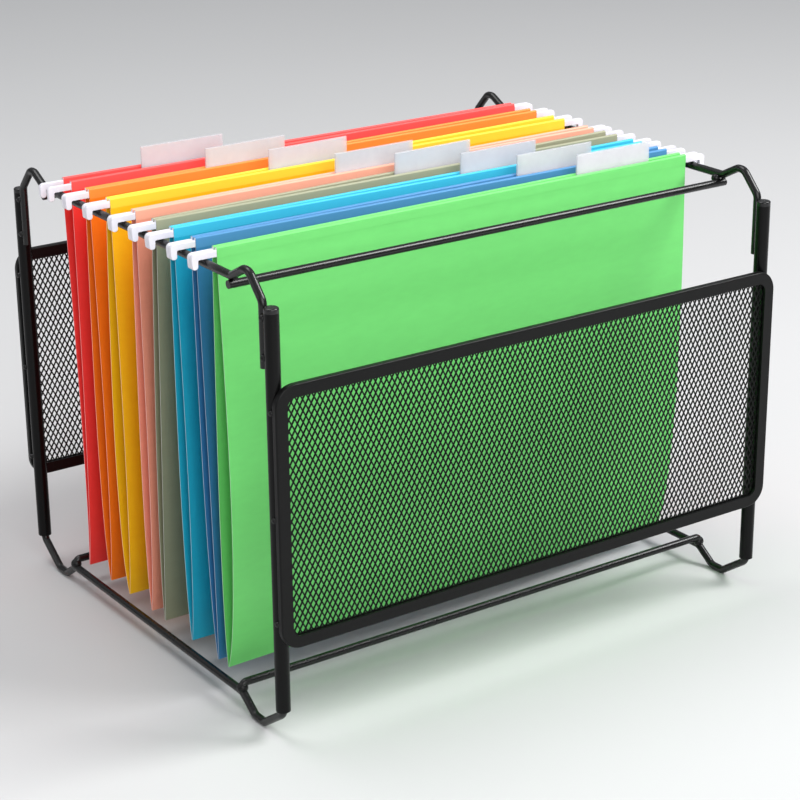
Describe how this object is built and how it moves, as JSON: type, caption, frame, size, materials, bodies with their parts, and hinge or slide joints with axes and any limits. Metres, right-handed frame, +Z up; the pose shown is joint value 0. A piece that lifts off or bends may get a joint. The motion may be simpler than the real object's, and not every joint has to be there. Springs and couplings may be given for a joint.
{
  "type": "hanging file box",
  "caption": "Black steel desktop frame with mesh ends that carries a row of coloured hanging folders, which slide along its side rails and open for papers.",
  "frame": {"origin": "on the table, under the middle of the frame", "axes": "+X along the folders from left to right, +Y towards the rear, -Y the front, +Z up"},
  "size_m": [0.3476, 0.296, 0.2661],
  "materials": {
    "black_steel": "satin powder coat",
    "black_plastic": "gloss",
    "white_plastic": "gloss",
    "clear_plastic": "clear film over a blank white label",
    "red_card": "smooth dyed card",
    "orange_card": "smooth dyed card",
    "yellow_card": "smooth dyed card",
    "pink_card": "smooth dyed card",
    "khaki_card": "smooth dyed card",
    "cyan_card": "smooth dyed card",
    "blue_card": "smooth dyed card",
    "green_card": "smooth dyed card"
  },
  "bodies": {
    "frame": {"front_left_post": "black_steel", "front_right_post": "black_steel", "rear_left_post": "black_steel", "rear_right_post": "black_steel", "post_caps": "black_plastic", "left_top_rail": "black_steel", "right_top_rail": "black_steel", "front_top_bar": "black_steel", "rear_top_bar": "black_steel", "left_base_wire": "black_steel", "right_base_wire": "black_steel", "front_base_bar": "black_steel", "rear_base_bar": "black_steel", "front_rim": "black_steel", "rear_rim": "black_steel", "front_mesh": "black_steel", "rear_mesh": "black_steel", "rim_welds": "black_steel", "rail_welds": "black_steel", "base_welds": "black_steel"},
    "red_back": {"red_rear_panel": "red_card", "red_rear_hanger": "white_plastic", "red_tab": "clear_plastic"},
    "red_front": {"red_front_panel": "red_card", "red_front_hanger": "white_plastic"},
    "orange_back": {"orange_rear_panel": "orange_card", "orange_rear_hanger": "white_plastic", "orange_tab": "clear_plastic"},
    "orange_front": {"orange_front_panel": "orange_card", "orange_front_hanger": "white_plastic"},
    "yellow_back": {"yellow_rear_panel": "yellow_card", "yellow_rear_hanger": "white_plastic", "yellow_tab": "clear_plastic"},
    "yellow_front": {"yellow_front_panel": "yellow_card", "yellow_front_hanger": "white_plastic"},
    "pink_back": {"pink_rear_panel": "pink_card", "pink_rear_hanger": "white_plastic", "pink_tab": "clear_plastic"},
    "pink_front": {"pink_front_panel": "pink_card", "pink_front_hanger": "white_plastic"},
    "khaki_back": {"khaki_rear_panel": "khaki_card", "khaki_rear_hanger": "white_plastic", "khaki_tab": "clear_plastic"},
    "khaki_front": {"khaki_front_panel": "khaki_card", "khaki_front_hanger": "white_plastic"},
    "cyan_back": {"cyan_rear_panel": "cyan_card", "cyan_rear_hanger": "white_plastic", "cyan_tab": "clear_plastic"},
    "cyan_front": {"cyan_front_panel": "cyan_card", "cyan_front_hanger": "white_plastic"},
    "blue_back": {"blue_rear_panel": "blue_card", "blue_rear_hanger": "white_plastic", "blue_tab": "clear_plastic"},
    "blue_front": {"blue_front_panel": "blue_card", "blue_front_hanger": "white_plastic"},
    "green_back": {"green_rear_panel": "green_card", "green_rear_hanger": "white_plastic", "green_tab": "clear_plastic"},
    "green_front": {"green_front_panel": "green_card", "green_front_hanger": "white_plastic"}
  },
  "joints": [
    {"name": "red_folder_slide", "type": "slide", "parent": "frame", "child": "red_back", "axis": [0, 1, 0], "range_m": [-0.0042, 0.0035]},
    {"name": "red_front_opens", "type": "hinge", "parent": "red_back", "child": "red_front", "pos_m": [0, 0.0897, 0.0145], "axis": [1, 0, 0], "range_deg": [0, 1]},
    {"name": "orange_folder_slide", "type": "slide", "parent": "frame", "child": "orange_back", "axis": [0, 1, 0], "range_m": [-0.0032, 0.0042]},
    {"name": "orange_front_opens", "type": "hinge", "parent": "orange_back", "child": "orange_front", "pos_m": [0, 0.0632, 0.0145], "axis": [1, 0.0063, 0], "range_deg": [0, 1]},
    {"name": "yellow_folder_slide", "type": "slide", "parent": "frame", "child": "yellow_back", "axis": [0, 1, 0], "range_m": [-0.0074, 0.0032]},
    {"name": "yellow_front_opens", "type": "hinge", "parent": "yellow_back", "child": "yellow_front", "pos_m": [0, 0.0397, 0.0145], "axis": [1, 0.0047, 0], "range_deg": [0, 1]},
    {"name": "pink_folder_slide", "type": "slide", "parent": "frame", "child": "pink_back", "axis": [0, 1, 0], "range_m": [-0.0016, 0.0074]},
    {"name": "pink_front_opens", "type": "hinge", "parent": "pink_back", "child": "pink_front", "pos_m": [0, 0.0118, 0.0145], "axis": [1, 0, 0], "range_deg": [0, 1]},
    {"name": "khaki_folder_slide", "type": "slide", "parent": "frame", "child": "khaki_back", "axis": [0, 1, 0], "range_m": [-0.0037, 0.0016]},
    {"name": "khaki_front_opens", "type": "hinge", "parent": "khaki_back", "child": "khaki_front", "pos_m": [0, -0.0047, 0.0145], "axis": [1, -0.0047, 0], "range_deg": [0, 1]},
    {"name": "cyan_folder_slide", "type": "slide", "parent": "frame", "child": "cyan_back", "axis": [0, 1, 0], "range_m": [-0.0022, 0.0037]},
    {"name": "cyan_front_opens", "type": "hinge", "parent": "cyan_back", "child": "cyan_front", "pos_m": [0, -0.0363, 0.0145], "axis": [1, -0.0079, 0], "range_deg": [0, 1]},
    {"name": "blue_folder_slide", "type": "slide", "parent": "frame", "child": "blue_back", "axis": [0, 1, 0], "range_m": [-0.0012, 0.0022]},
    {"name": "blue_front_opens", "type": "hinge", "parent": "blue_back", "child": "blue_front", "pos_m": [0, -0.0594, 0.0145], "axis": [0.9996, 0.0283, 0], "range_deg": [0, 1]},
    {"name": "green_folder_slide", "type": "slide", "parent": "frame", "child": "green_back", "axis": [0, 1, 0], "range_m": [-0.012, 0.0012]},
    {"name": "green_front_opens", "type": "hinge", "parent": "green_back", "child": "green_front", "pos_m": [0, -0.07, 0.0145], "axis": [0.9995, 0.0314, 0], "range_deg": [0, 1]}
  ]
}
